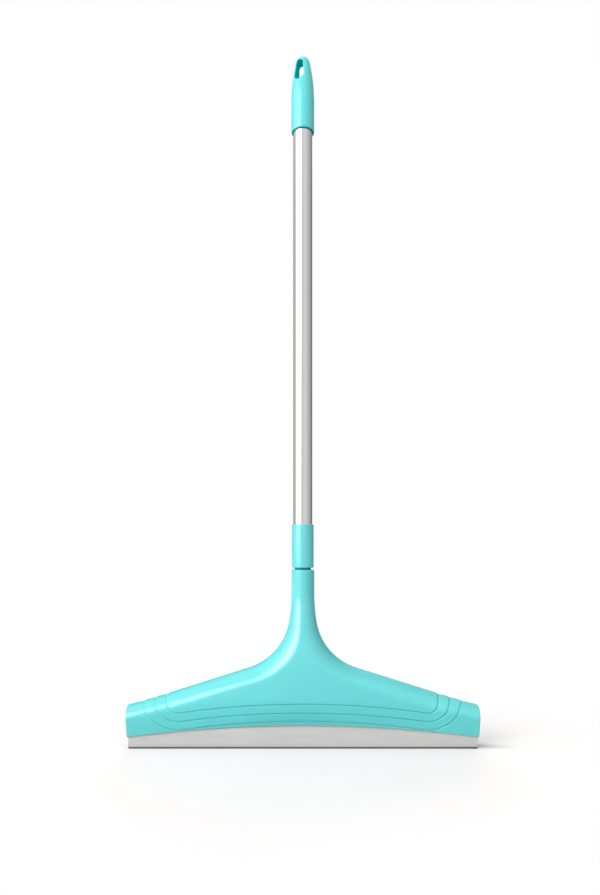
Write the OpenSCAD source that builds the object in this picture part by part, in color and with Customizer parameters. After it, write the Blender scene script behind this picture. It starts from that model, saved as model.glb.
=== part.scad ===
// Floor squeegee: a moulded hood holding two rubber strips, with a metal pole that screws into its neck.
// X runs along the head, Y from front to back, Z up. The strips stand on Z = 0 under the pole.

/* [Head] */
// Width of the head across its two ends
head_width = 584; // [560:1:760]
// Depth of the hood toward its ends, front to back
head_depth = 58; // [57.5:0.5:62]
// How much further each face stands out at the middle
belly = 5.5; // [0:0.5:7]
// Height of the lower edge at the middle of the arch
arch_z = 38; // [34:0.5:39]
// Height of the lower edge at the two ends
end_z = 19; // [12:0.5:26]
// Height of the shoulder line where it meets the end
shoulder_end_z = 68; // [65:0.5:72]
// Slope of the shoulder between the neck and the relief lines
shoulder_angle = 17.5; // [15:0.5:20]
// Slope of the shoulder across the relief lines
end_angle = 13.1; // [11:0.1:15]
// Lean of the end walls, inward toward the floor
end_draft = 1.8; // [0:0.1:3]
// Rounding of the upper outer corner, seen from the front
corner_r = 3.5; // [3:0.5:8]
// How far the shoulder's rounding reaches down the face in the middle
shoulder_round = 26; // [24:1:36]
// How far the shoulder's rounding reaches down the face at the ends
shoulder_round_end = 24; // [20:1:26]
// Rounding of the upright edges at the two ends
end_round = 2.5; // [2:0.5:4]
// How far the face is drawn in at its lower edge
face_tuck = 5.2; // [4:0.1:5.4]
// Height above the lower edge at which the face is no longer drawn in
tuck_reach = 50; // [40:1:60]
// Thickness of the hood's wall
wall = 2.6; // [2:0.1:2.8]

/* [Relief lines] */
// Number of steps in the face
steps = 3; // [3:1:3]
// Height of one step
step_h = 1.2; // [0.8:0.1:1.3]
// Width of one step's slope
step_run = 0.6; // [0.4:0.1:1.6]
// Distance between neighbouring lines along the face
line_gap = 14.3; // [12:0.1:15]
// Distance between neighbouring lines at the ends
line_gap_x = 18.75; // [16:0.25:19]
// Corner radius of the innermost line
line_r = 15; // [12:0.5:18]
// Centre of the corners, from the middle of the head
line_center_x = 203.3; // [190:0.1:208]
// Height of the centre of the corners
line_center_z = 76; // [74:0.5:78]
// Rise of a line from its corner to the middle
line_rise = 13.9; // [10:0.1:14.5]
// Where the innermost line crosses the shoulder
line_x = 223.2; // [219:0.1:228]
// Distance between the crossings of neighbouring lines
line_dx = 19.9; // [17:0.1:20.5]

/* [Neck] */
// Height of the neck's upper rim
neck_top = 293; // [280:1:320]
// Diameter of the neck at its rim
neck_d = 38; // [37:0.2:42]
// Growth of the neck's radius for each mm down
neck_draft = 0.004; // [0.002:0.001:0.02]
// Height below which the neck bows outward
bow_from = 252; // [240:1:256]
// Strength of the bow, in mm for each mm squared
bow = 0.0018; // [0.0010:0.0001:0.0020]
// Height where the neck meets the flare
flare_top = 206; // [198:1:212]
// Rounding of the neck's rim
rim_r = 1.5; // [0.8:0.1:2]
// Depth of the threaded socket
socket_depth = 38; // [34:0.5:39]

/* [Strips] */
// Length of a strip along its lower edge
strip_len = 573; // [500:1:573]
// Thickness of a strip
strip_t = 9; // [8:0.1:9.2]
// Distance from the middle plane to a strip's outer face
strip_face_y = 17.3; // [17:0.1:17.5]
// Height of a strip's upper edge
strip_top = 48; // [46:0.5:49]
// Chamfer along a strip's lower edges
strip_chamfer = 1.4; // [0.5:0.1:2]

/* [Clamp bar] */
// Length of the bar
bar_len = 560; // [500:1:570]
// Height of the bar's lower edge
bar_bottom = 40; // [39.5:0.5:41]
// Height of the bar
bar_h = 12; // [11.5:0.5:13]
// Wall thickness of the bar
bar_wall = 2; // [1.6:0.1:2.6]
// Number of screws
screw_count = 5; // [3:2:5]
// Distance between neighbouring screws
screw_pitch = 115; // [100:1:120]
// Number of pegs on each side
peg_count = 10; // [6:2:10]
// Diameter of a peg
peg_d = 5; // [4:0.1:5.5]
// Length of a peg
peg_len = 6; // [4:0.5:7]

/* [Screws] */
// Diameter of a screw
screw_d = 4; // [3.5:0.1:4.2]
// Diameter of a screw's head
screw_head_d = 8; // [7:0.1:8.4]
// Height of a screw's head
screw_head_h = 2.6; // [2:0.1:2.8]
// Length of a screw below its head
screw_len = 22; // [18:0.5:24]

/* [Pole] */
// Outer diameter of the tube
tube_d = 32; // [30:0.5:32]
// Wall thickness of the tube
tube_wall = 1; // [0.8:0.1:1.4]
// Height of the cap's lower rim, where the bare tube ends
tube_top = 1020; // [900:1:1300]
// Thickness of the washer under the ferrule
washer_t = 3.5; // [2.5:0.1:5]
// Outer diameter of the washer
washer_d = 27.2; // [26:0.2:30]

/* [Ferrule] */
// Outer diameter of the sleeve
ferrule_d = 36.4; // [35.6:0.1:38]
// Length of the sleeve
ferrule_len = 71.6; // [60:0.2:90]
// How far the tube enters the sleeve
ferrule_grip = 60; // [50:1:62]
// Length of the spigot
spigot_len = 34.7; // [30:0.1:36]
// Outer diameter of the spigot's thread
spigot_d = 23.8; // [22:0.1:23.8]
// Diameter of the plain neck that holds the washer
spigot_neck_d = 20; // [18:0.2:21]
// Diameter of the rivet
rivet_d = 3.2; // [2.8:0.1:4]
// Diameter of the rivet's head
rivet_head_d = 7; // [6:0.1:8]

/* [Hang cap] */
// Diameter of the cap's straight part
cap_d = 38.2; // [37:0.1:40]
// Length of the cap's straight part
cap_straight = 51; // [46:0.5:62]
// Length of the tapered part, up to the dome
cap_taper = 65; // [58:0.5:70]
// Radius of the taper's curve
cap_taper_r = 300; // [280:1:380]
// How far the tube enters the cap
cap_grip = 60; // [50:1:62]
// Width of the slot at its lower end
slot_low_w = 16; // [13:0.1:16.5]
// Width of the slot at its upper end
slot_high_w = 12; // [9:0.1:12.5]
// Height of the slot
slot_h = 35.5; // [26:0.1:36]
// Thickness left above the slot
slot_roof = 7.6; // [7:0.1:14]
// Distance of the slot's middle from the pole's axis
slot_shift = 2.3; // [0:0.1:2.5]
// Turn of the slot about the pole
slot_turn = 19; // [-90:1:90]

/* [Hidden] */
$fn = 96;

plastic = [0.44, 0.86, 0.87];
grey_rubber = [0.80, 0.80, 0.78];
dark_rubber = [0.10, 0.42, 0.43];
steel = [0.75, 0.76, 0.77];
cut = 1;
fit = 0.1;
seat = 0.2;
core_top_gap = 7;
end_run = 14;
relief = steps * step_h;
half_width = head_width / 2 + relief;
face_top = 130;
belly_reach = 230;
round_z = 100;

neck_foot = neck_lean(flare_top);
flare_line_a = [cos(shoulder_angle), -sin(shoulder_angle)];
flare_line_b = [-sin(neck_foot), cos(neck_foot)];
end_normal = [sin(end_angle), cos(end_angle)];
shoulder_normal = [sin(shoulder_angle), cos(shoulder_angle)];
neck_normal = polar(1, neck_foot);
kink = [line_x, end_line_z(line_x)];
flare_start = [neck_x(flare_top), flare_top];
flare_r = (flare_start - kink) * shoulder_normal / (1 - neck_normal * shoulder_normal);
flare_center = flare_start + flare_r * neck_normal;
flare_foot = flare_center - flare_r * shoulder_normal;
end_corner_z = end_line_z(half_width);
end_corner = [wall_x(end_corner_z), end_corner_z];
corner_big_r = corner_r + relief;
corner_line_a = [-sin(end_draft), -cos(end_draft)];
corner_line_b = [-cos(end_angle), sin(end_angle)];
corner_half = acos(corner_line_a * corner_line_b) / 2;
corner_center = end_corner + unit(corner_line_a + corner_line_b) * corner_big_r / sin(corner_half);

bar_half = strip_face_y - strip_t - fit;
bar_top = bar_bottom + bar_h;
peg_z = (bar_bottom + strip_top) / 2;
screw_seat = bar_bottom + screw_head_h + 1.4;
screw_first = -screw_pitch * (screw_count - 1) / 2;
peg_pitch = bar_len / (peg_count + 1);
peg_first = -peg_pitch * (peg_count - 1) / 2;
rib_t = 2.2;
boss_d = 10;

socket_d = spigot_d + 2 * fit;
socket_floor = neck_top - socket_depth;
cavity_top = socket_floor - core_top_gap;
ferrule_z = neck_top + washer_t;
ferrule_top = ferrule_z + ferrule_len;
tube_foot = ferrule_top - ferrule_grip;
tube_bore = tube_d - 2 * tube_wall;
tube_head = tube_top + cap_grip;
rivet_z = ferrule_top - ferrule_grip / 2;

cap_shoulder = tube_top + cap_straight;
cap_drop = cap_taper_r - sqrt(pow(cap_taper_r, 2) - pow(cap_taper, 2));
cap_neck_r = cap_d / 2 - cap_drop;
cap_slope = cap_taper / (cap_taper_r - cap_drop);
dome_z = cap_shoulder + cap_taper - cap_neck_r * cap_slope;
dome_r = cap_neck_r * sqrt(1 + pow(cap_slope, 2));
cap_top = dome_z + dome_r;
slot_top = cap_top - slot_roof;

// Small helpers for blending and arcs
function mix(a, b, t) = a + (b - a) * t;
function clip(t) = max(0, min(1, t));
function ease(t) = let (c = clip(t)) c * c * (3 - 2 * c);
function unit(v) = v / norm(v);
function polar(r, a) = [r * cos(a), r * sin(a)];
function oval(rx, rz, a) = [rx * cos(a), rz * sin(a)];
function quarter(q) = let (c = clip(q)) sqrt(1 - pow(1 - c, 2));

// Lines that bound the front view, at the level of the raised middle
function neck_x(z) = neck_d / 2 + (neck_top - z) * neck_draft + bow * pow(max(0, bow_from - z), 2);
function neck_lean(z) = atan(neck_draft + 2 * bow * max(0, bow_from - z));
function wall_x(z) = half_width - (shoulder_end_z - z) * tan(end_draft);
function end_line_z(x) = shoulder_end_z + relief / cos(end_angle) + (head_width / 2 - x) * tan(end_angle);
function shoulder_z(x) = kink[1] + (kink[0] - x) * tan(shoulder_angle);

// Each stretch of the outline gives a point and its outward normal
function wall_row(z) = [[wall_x(z), z], [cos(end_draft), -sin(end_draft)]];
function corner_row(f) =
    let (n = polar(1, mix(-end_draft, 90 - end_angle, f)))
    [corner_center + corner_big_r * n, n];
function end_row(x) = [[x, end_line_z(x)], end_normal];
function shoulder_row(x) = [[x, shoulder_z(x)], shoulder_normal];
function flare_row(f) =
    let (n = polar(1, mix(90 - shoulder_angle, neck_foot, f)))
    [flare_center - flare_r * n, n];
function moved(row, inset) = row[0] - inset * row[1];

// Distance of a front-view point from the shoulder, flare and neck
function edge_distance(p) =
    let (from = p - flare_center)
    from * flare_line_a > 0
        ? max((kink - p) * shoulder_normal, (kink - p) * end_normal)
        : from * flare_line_b > 0 ? (neck_x(p[1]) - p[0]) * cos(neck_lean(p[1])) : norm(from) - flare_r;

// Half depth of the hood behind a front-view point
function face_depth(p) =
    let (above = p[1] - arch_z + (arch_z - end_z) * pow(p[0] / half_width, 2))
    let (straight = neck_d / 2 + (neck_top - p[1]) * neck_draft, more = belly * ease(1 - p[0] / belly_reach))
    mix(head_depth / 2 + more, straight, ease((p[1] - face_top) / (bow_from - face_top)))
    - (face_tuck + more) * pow(max(0, 1 - max(0, above) / tuck_reach), 2);
function edge_round(inset) = max(0.6, end_round - max(0, inset - relief));
function round_len(p) =
    let (low = mix(shoulder_round, shoulder_round_end, ease(p[0] / half_width)))
    mix(low, neck_x(p[1]), ease((p[1] - round_z) / (flare_top - round_z)));
function half_depth(p, inset) =
    (face_depth(p) - inset)
    * quarter((edge_distance(p) - inset) / (round_len(p) - inset))
    * quarter(((wall_x(p[1]) - p[0]) * cos(end_draft) - inset) / edge_round(inset));

// Columns along a row: the arched run, the corner, and the rise to the outline
arch_share = 0.5;
corner_share = 0.72;
corner_from = 262;
corner_to = 345;
function rise_share(s) = 1 - pow(1 - (s - corner_share) / (1 - corner_share), 2);

// Relief line number k, from the middle to the outline
function line_end(k, inset) = moved(end_row(line_x + line_dx * k), inset);
function line_point(k, s, inset) =
    let (rx = line_r + line_gap_x * k, rz = line_r + line_gap * k, c = [line_center_x, line_center_z])
    let (from = c + oval(rx, rz, corner_from), to = c + oval(rx, rz, corner_to))
    let (high = line_center_z + line_rise - rz, last = line_end(k, inset))
    s < arch_share
        ? let (f = s / arch_share) [from[0] * f, high - (high - from[1]) * f * f]
        : s < corner_share
            ? c + oval(rx, rz, mix(corner_from, corner_to, (s - arch_share) / (corner_share - arch_share)))
            : let (way = atan2(rz * cos(corner_to), -rx * sin(corner_to)))
              let (e = rise_share(s), bend = to + polar(norm(last - to) / 2, way))
              pow(1 - e, 2) * to + 2 * e * (1 - e) * bend + e * e * last;

// Lower edge of the hood, from the middle to the end
function edge_point(s, inset, drop) =
    let (last = wall_x(end_z) - inset, run = last - end_run)
    let (x = s < arch_share
        ? line_center_x * s / arch_share
        : s < corner_share
            ? mix(line_center_x, run, (s - arch_share) / (corner_share - arch_share))
            : mix(run, last, rise_share(s)))
    [x, arch_z - drop - (arch_z - end_z) * pow(x / last, 2)];

// Rows between the lower edge and the outermost line, spread over the end
function end_band(f, row, s, inset, drop) =
    let (k = steps - 1, low = edge_point(s, inset, drop), high = line_point(k, s, inset))
    let (want = moved(row, inset))
    let (have = mix(edge_point(1, inset, drop), line_end(k, inset), f))
    mix(low, high, f) + (want - have) * pow(clip((s - arch_share) / (1 - arch_share)), 2);

// Rows above the innermost line, turning from its shape to the round neck
function upper_band(g, row, s, inset) =
    let (first = line_end(0, inset), base = line_point(0, s, inset), last = moved(row, inset))
    let (low = line_point(0, 0, inset)[1], high = mix(low, flare_top, pow(g, 1.2)))
    let (share = base[0] / first[0], across = mix(share, sin(90 * s), g))
    let (sag = base[1] - mix(low, first[1], share))
    [last[0] * across, mix(high, last[1], across) + sag * pow(1 - g, 2) * last[0] / first[0]];

// One closed ring round the hood, from the front-view points of a quarter of it
function ring(points, inset) =
    let (n = len(points) - 1)
    let (y = [for (i = [0:n]) i == n ? 0 : half_depth(points[i], inset)])
    concat(
        [for (i = [0:n]) [points[i][0], -y[i], points[i][1]]],
        [for (i = [n - 1:-1:0]) [points[i][0], y[i], points[i][1]]],
        [for (i = [1:n]) [-points[i][0], y[i], points[i][1]]],
        [for (i = [n - 1:-1:1]) [-points[i][0], -y[i], points[i][1]]]
    );
function shares(n) = [for (i = [0:n]) i / n];

// Stretches of rows, each a list of rings
function end_rings(cols, list, inset, drop) =
    [for (r = list) ring([for (s = cols) end_band(r[0], r[1], s, inset, drop)], inset)];
function line_rings(cols, list) =
    [for (r = list) ring([for (s = cols) line_point(r[0], s, r[1])], r[1])];
function upper_rings(cols, list, inset) =
    [for (r = list) ring([for (s = cols) upper_band(r[0], r[1], s, inset)], inset)];
function neck_rings(cols, list) =
    [for (r = list) ring([for (s = cols) [(neck_x(r[0]) - r[1]) * sin(90 * s), r[0]]], r[1])];

// Rows over the end: its wall, its upper corner and the shoulder up to the outermost line
function end_rows(n_wall, n_corner, n_top, low_z) =
    let (z0 = low_z, z1 = corner_row(0)[0][1], x1 = corner_row(1)[0][0])
    let (x2 = line_x + line_dx * (steps - 1) + step_run / 2, n = n_wall + n_corner + n_top)
    concat(
        [for (i = [0:n_wall - 1]) [i / n, wall_row(mix(z0, z1, i / n_wall))]],
        [for (i = [0:n_corner - 1]) [(n_wall + i) / n, corner_row(i / n_corner)]],
        [for (i = [0:n_top - 1]) [(n_wall + n_corner + i) / n, end_row(mix(x1, x2, i / n_top))]]
    );

// Rows up the shoulder and the flare, with their share of the way to the neck
function upper_rows(n_shoulder, n_flare) =
    let (a = norm(kink - flare_foot), b = flare_r * (90 - shoulder_angle - neck_foot) * PI / 180)
    concat(
        [for (i = [1:n_shoulder]) let (f = i / n_shoulder)
            [f * a / (a + b), shoulder_row(mix(kink[0], flare_foot[0], f))]],
        [for (i = [1:n_flare]) let (f = i / n_flare)
            [(a + f * b) / (a + b), flare_row(f)]]
    );

// Closed solid through a list of rings that all have the same number of points
module loft(rings) {
    m = len(rings[0]);
    n = m / 4;
    last = (len(rings) - 1) * m;
    sides = [
        for (r = [0:len(rings) - 2]) for (i = [0:m - 1])
            let (a = r * m + i, b = r * m + (i + 1) % m)
            each [[a, b + m, b], [a, a + m, b + m]]
    ];
    halves = [
        for (i = [0:n - 1])
            each [
                [i, i + 1, 2 * n - i - 1, 2 * n - i],
                [(4 * n - i) % m, 2 * n + i, 2 * n + i + 1, 4 * n - i - 1]
            ]
    ];
    corners = [
        for (q = halves)
            each q[1] == q[2] ? [[q[0], q[1], q[3]]]
                : q[2] == q[3] ? [[q[0], q[1], q[2]]]
                : [[q[0], q[1], q[2]], [q[0], q[2], q[3]]]
    ];
    lower = [for (t = corners) [t[0], t[1], t[2]]];
    upper = [for (t = corners) [last + t[2], last + t[1], last + t[0]]];
    polyhedron(points = [for (r = rings) each r], faces = concat(lower, sides, upper), convexity = 6);
}

// Outer form of the hood, with the stepped lines in its face
module hood_form() {
    cols = shares(18);
    half_run = step_run / (2 * line_gap);
    line_rows = [
        for (k = [steps - 1:-1:0])
            each [
                [k + half_run, relief - (steps - 1 - k) * step_h],
                [k - half_run, relief - (steps - k) * step_h],
                if (k > 0) [k - 0.5, relief - (steps - k) * step_h]
            ]
    ];
    rim = [for (a = [0:30:90]) [neck_top - rim_r * (1 - sin(a)), rim_r * (1 - cos(a))]];
    straight = [for (i = [1:5]) [mix(flare_top, neck_top - rim_r, i / 6), 0]];
    loft(concat(
        end_rings(cols, end_rows(5, 4, 2, end_z), relief, 0),
        line_rings(cols, line_rows),
        upper_rings(cols, upper_rows(7, 9), 0),
        neck_rings(cols, concat(straight, rim))
    ));
}

// Hollow of the hood, one wall inside its lowest face
module hood_hollow() {
    cols = shares(12);
    inset = relief + wall;
    drop = arch_z - end_z;
    straight = [for (f = [0.5, 1]) [mix(flare_top, cavity_top, f), inset]];
    loft(concat(
        end_rings(cols, end_rows(4, 3, 1, end_z - drop), inset, drop),
        line_rings(cols, [for (k = [steps - 1:-1:0]) [k, inset]]),
        upper_rings(cols, upper_rows(4, 5), inset),
        neck_rings(cols, straight)
    ));
}

// Room for the two strips inside the hood, square at its ends
module strip_room() {
    high = strip_top + seat;
    half = strip_face_y + seat;
    x0 = strip_len / 2 + seat;
    x1 = x0 + high * tan(end_draft);
    rotate([90, 0, 0]) translate([0, 0, -half]) linear_extrude(2 * half)
        polygon([[-x0, 0], [x0, 0], [x1, high], [-x1, high]]);
}

// Places its children at each screw
module at_screws() {
    for (i = [0:screw_count - 1]) translate([screw_first + i * screw_pitch, 0, 0]) children();
}

// Stiffening ribs and screw bosses inside the hood, standing on the clamp bar
module hood_inside() {
    for (i = [0:screw_count - 2])
        translate([screw_first + (i + 0.5) * screw_pitch, 0, bar_top + seat + neck_top / 2])
            cube([rib_t, head_depth, neck_top], center = true);
    at_screws() translate([0, 0, bar_top]) cylinder(d = boss_d, h = neck_top);
}

module head_hood() {
    color(plastic) difference() {
        hood_form();
        difference() {
            hood_hollow();
            hood_inside();
        }
        strip_room();
        translate([0, 0, socket_floor]) cylinder(d = socket_d, h = socket_depth + cut);
        at_screws() translate([0, 0, bar_top - cut])
            cylinder(d = screw_d + 2 * fit, h = screw_seat + screw_len - bar_top + 2 * cut);
    }
}

// Channel that spreads the two strips against the hood, with pegs that hold them
module clamp_bar() {
    wide = 2 * bar_half;
    color(plastic) difference() {
        union() {
            difference() {
                translate([-bar_len / 2, -bar_half, bar_bottom]) cube([bar_len, wide, bar_h]);
                translate([bar_wall - bar_len / 2, bar_wall - bar_half, bar_bottom - cut])
                    cube([bar_len - 2 * bar_wall, wide - 2 * bar_wall, bar_h - bar_wall + cut]);
            }
            at_screws() translate([0, 0, screw_seat]) cylinder(d = boss_d, h = bar_top - screw_seat);
            for (i = [0:peg_count - 1]) translate([peg_first + i * peg_pitch, 0, peg_z])
                for (side = [-1, 1]) rotate([90 * side, 0, 0])
                    translate([0, 0, bar_half - bar_wall / 2])
                        cylinder(d = peg_d, h = peg_len + bar_wall / 2);
        }
        at_screws() translate([0, 0, bar_bottom]) cylinder(d = screw_d + 2 * seat, h = bar_h + cut);
    }
}

// One rubber strip, its outer face toward -Y
module strip() {
    c = strip_chamfer;
    y0 = -strip_face_y;
    y1 = y0 + strip_t;
    x0 = strip_len / 2;
    x1 = x0 + strip_top * tan(end_draft);
    color(grey_rubber) difference() {
        intersection() {
            rotate([90, 0, 90]) translate([0, 0, -head_width / 2]) linear_extrude(head_width)
                polygon([
                    [y0 + c, 0], [y1 - c, 0], [y1, c], [y1, strip_top],
                    [y0 + c, strip_top], [y0, strip_top - c], [y0, c]
                ]);
            rotate([90, 0, 0]) translate([0, 0, -head_depth]) linear_extrude(2 * head_depth)
                polygon([[-x0, 0], [x0, 0], [x1, strip_top], [-x1, strip_top]]);
        }
        for (i = [0:peg_count - 1]) translate([peg_first + i * peg_pitch, y1 + cut, peg_z])
            rotate([90, 0, 0]) cylinder(d = peg_d + 2 * seat, h = peg_len + seat + cut);
    }
}

module front_blade() {
    strip();
}

module rear_blade() {
    rotate([0, 0, 180]) strip();
}

// Pan-head screws driven upward through the bar into the hood's bosses
module clamp_screws() {
    tip = screw_d / 2;
    color(steel) at_screws() translate([0, 0, screw_seat]) {
        translate([0, 0, -screw_head_h])
            cylinder(d1 = screw_head_d * 0.8, d2 = screw_head_d, h = screw_head_h / 2);
        translate([0, 0, -screw_head_h / 2]) cylinder(d = screw_head_d, h = screw_head_h / 2);
        cylinder(d = screw_d, h = screw_len - tip);
        translate([0, 0, screw_len - tip]) cylinder(d1 = screw_d, d2 = screw_d / 4, h = tip);
    }
}

// Washer held in the spigot's plain neck
module neck_washer() {
    color(dark_rubber) translate([0, 0, neck_top]) difference() {
        cylinder(d = washer_d, h = washer_t);
        translate([0, 0, -cut]) cylinder(d = spigot_neck_d + 2 * seat, h = washer_t + 2 * cut);
    }
}

// Hole through sleeve, tube and plug, toward +Y
module rivet_hole() {
    translate([0, tube_bore / 4, rivet_z]) rotate([-90, 0, 0]) cylinder(d = rivet_d + 2 * fit, h = ferrule_d);
}

// Sleeve and plug that grip the tube, with the spigot that screws into the neck
module pole_ferrule() {
    r = ferrule_d / 2;
    edge = 1;
    groove = tube_d / 2 + fit;
    plug = tube_bore / 2 - fit;
    core = plug - 3;
    neck_r = spigot_neck_d / 2;
    thread_r = spigot_d / 2;
    lead = 1.6;
    color(plastic) difference() {
        rotate_extrude() polygon([
            [0, ferrule_z - spigot_len], [thread_r - lead, ferrule_z - spigot_len],
            [thread_r, ferrule_z - spigot_len + lead], [thread_r, neck_top - lead],
            [neck_r, neck_top - seat], [neck_r, ferrule_z], [r - edge, ferrule_z],
            [r, ferrule_z + edge], [r, ferrule_top - edge], [r - edge, ferrule_top],
            [groove, ferrule_top], [groove, tube_foot], [plug, tube_foot], [plug, ferrule_top - edge],
            [plug - edge, ferrule_top], [core, ferrule_top], [core, tube_foot], [0, tube_foot]
        ]);
        rivet_hole();
    }
}

// Blind rivet through sleeve, tube and plug, its head on the rear side
module ferrule_rivet() {
    head_h = 1.6;
    dome = (pow(rivet_head_d / 2, 2) + pow(head_h, 2)) / (2 * head_h);
    color(steel) translate([0, 0, rivet_z]) rotate([-90, 0, 0]) {
        translate([0, 0, tube_bore / 2 - 2.6]) cylinder(d = rivet_d, h = ferrule_d / 2 - tube_bore / 2 + 2.6);
        translate([0, 0, ferrule_d / 2]) intersection() {
            cylinder(d = rivet_head_d, h = head_h);
            translate([0, 0, head_h - dome]) sphere(r = dome);
        }
    }
}

module pole_tube() {
    color(steel) difference() {
        translate([0, 0, tube_foot]) cylinder(d = tube_d, h = tube_head - tube_foot);
        translate([0, 0, tube_foot - cut]) cylinder(d = tube_bore, h = tube_head - tube_foot + 2 * cut);
        rivet_hole();
    }
}

// Slot through the cap, wider below than above, with round ends
module hang_slot() {
    r1 = slot_low_w / 2;
    r2 = slot_high_w / 2;
    low = slot_top - slot_h + r1;
    high = slot_top - r2;
    lean = asin((r1 - r2) / (high - low));
    a = [0, low] + polar(r1 - fit, lean);
    b = [0, high] + polar(r2 - fit, lean);
    rotate([90, 0, -slot_turn]) translate([-slot_shift, 0, -cap_d]) {
        translate([0, low, 0]) cylinder(r = r1, h = 2 * cap_d);
        translate([0, high, 0]) cylinder(r = r2, h = 2 * cap_d);
        linear_extrude(2 * cap_d) polygon([[-a[0], a[1]], a, b, [-b[0], b[1]]]);
    }
}

// Bullet-shaped cap: straight sleeve, curved taper and dome
module hang_cap() {
    lip = [2.6, 3];
    neck_z = cap_shoulder + cap_taper;
    color(plastic) difference() {
        rotate_extrude() {
            polygon([
                [0, tube_top], [cap_d / 2 - lip[0], tube_top], [cap_d / 2, tube_top + lip[1]],
                [cap_d / 2, cap_shoulder], [0, cap_shoulder]
            ]);
            intersection() {
                translate([cap_d / 2 - cap_taper_r, cap_shoulder]) circle(r = cap_taper_r, $fn = 720);
                translate([0, cap_shoulder]) square([cap_d, cap_taper]);
            }
            intersection() {
                translate([0, dome_z]) circle(r = dome_r);
                translate([0, neck_z]) square([cap_d, cap_d]);
            }
        }
        translate([0, 0, tube_top - cut]) cylinder(d = tube_d + 2 * fit, h = cap_grip + cut);
        hang_slot();
    }
}

head_hood();
clamp_bar();
front_blade();
rear_blade();
clamp_screws();
neck_washer();
pole_ferrule();
ferrule_rivet();
pole_tube();
hang_cap();
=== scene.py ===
import bpy
import bmesh
import math
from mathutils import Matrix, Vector
from mathutils.geometry import delaunay_2d_cdt


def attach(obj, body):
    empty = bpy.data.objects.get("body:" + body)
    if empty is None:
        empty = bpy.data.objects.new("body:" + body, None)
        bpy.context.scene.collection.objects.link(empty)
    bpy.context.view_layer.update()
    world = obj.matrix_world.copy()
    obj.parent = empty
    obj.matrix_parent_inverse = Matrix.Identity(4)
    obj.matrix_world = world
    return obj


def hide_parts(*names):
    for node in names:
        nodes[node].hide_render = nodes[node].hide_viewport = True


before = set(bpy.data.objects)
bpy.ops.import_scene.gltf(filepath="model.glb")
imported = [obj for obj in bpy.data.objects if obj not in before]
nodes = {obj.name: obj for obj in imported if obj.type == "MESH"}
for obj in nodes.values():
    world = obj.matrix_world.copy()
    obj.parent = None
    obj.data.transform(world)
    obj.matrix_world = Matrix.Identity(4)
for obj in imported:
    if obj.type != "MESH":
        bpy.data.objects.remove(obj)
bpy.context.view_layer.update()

# The hood is one turquoise polypropylene moulding: a hollow bell that flares from a round neck
# into two sloping shoulders, with a stepped relief of parallel lines pressed into both faces.
# The mould parts along the crest, so front and rear are the same.
MM = 0.001
HALF_WIDTH, FACE_DEPTH, FACE_TOP, WALL = 292.0, 29.0, 130.0, 2.6
BELLY, BELLY_REACH, TUCK, TUCK_REACH = 5.5, 230.0, 5.2, 50.0
ARCH_Z, END_Z, SHOULDER_END_Z = 38.0, 19.0, 68.0
SHOULDER_SLOPE, END_SLOPE, END_LEAN = math.radians(17.5), math.radians(13.1), math.radians(1.8)
CORNER_R, ROUND_MIDDLE, ROUND_END, ROUND_FROM = 3.5, 26.0, 24.0, 100.0
END_EDGE, LEAST_EDGE, END_RUN = 2.5, 0.6, 14.0
STEPS, STEP_H, STEP_HALF_RUN = 3, 1.2, 0.6
GROOVE, GROOVE_AT, GROOVE_HALF, CREST_FADE = 1.25, 0.95, 0.85, 0.1
LINE_GAP, LINE_GAP_X, LINE_R, LINE_RISE, FIRST_LIFT = 14.3, 18.75, 15.0, 15.0, 1.0
LINE_CENTRE, LINE_X, LINE_DX = (203.3, 76.0), 223.2, 19.9
STEP_ROWS = (
    1.9, 1.65, 1.45, 1.25, 1.1, 0.95, 0.8, 0.7, 0.6, 0.5,
    0.4, 0.2, 0, -0.2, -0.4, -0.5, -0.6, -0.8, -1.05, -1.6,
)
NECK_TOP, NECK_R, NECK_DRAFT, NECK_RIM = 293.0, 19.0, 0.004, 1.5
BOW_FROM, BOW, FLARE_TOP, ROW_SPREAD = 252.0, 0.0018, 206.0, 1.05
SOCKET_R, SOCKET_FLOOR, SOCKET_EDGE, HOLLOW_TOP = 12.0, 255.0, 0.6, 248.0
SOCKET_MOUTH = ((4.0, 0.0), (1.0, 0.0), (0.7, 0.05), (0.3, 0.35), (0.05, 0.75), (0.0, 1.2))
LIP_IN, LIP_OUT, LIP_CLEAR = 0.6, 0.8, 0.03
RELIEF = STEPS * STEP_H
OUTER_X = HALF_WIDTH + RELIEF


def mix(a, b, t):
    return a + (b - a) * t


def ease(t):
    c = max(0.0, min(1.0, t))
    return c * c * (3 - 2 * c)


def quarter(q):
    c = max(0.0, min(1.0, q))
    return math.sqrt(1 - (1 - c) ** 2)


def polar(r, a):
    return (r * math.cos(a), r * math.sin(a))


def neck_x(z):
    return NECK_R + (NECK_TOP - z) * NECK_DRAFT + BOW * max(0.0, BOW_FROM - z) ** 2


def neck_lean(z):
    return math.atan(NECK_DRAFT + 2 * BOW * max(0.0, BOW_FROM - z))


def wall_x(z):
    return OUTER_X - (SHOULDER_END_Z - z) * math.tan(END_LEAN)


def end_line_z(x):
    return SHOULDER_END_Z + RELIEF / math.cos(END_SLOPE) + (HALF_WIDTH - x) * math.tan(END_SLOPE)


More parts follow.
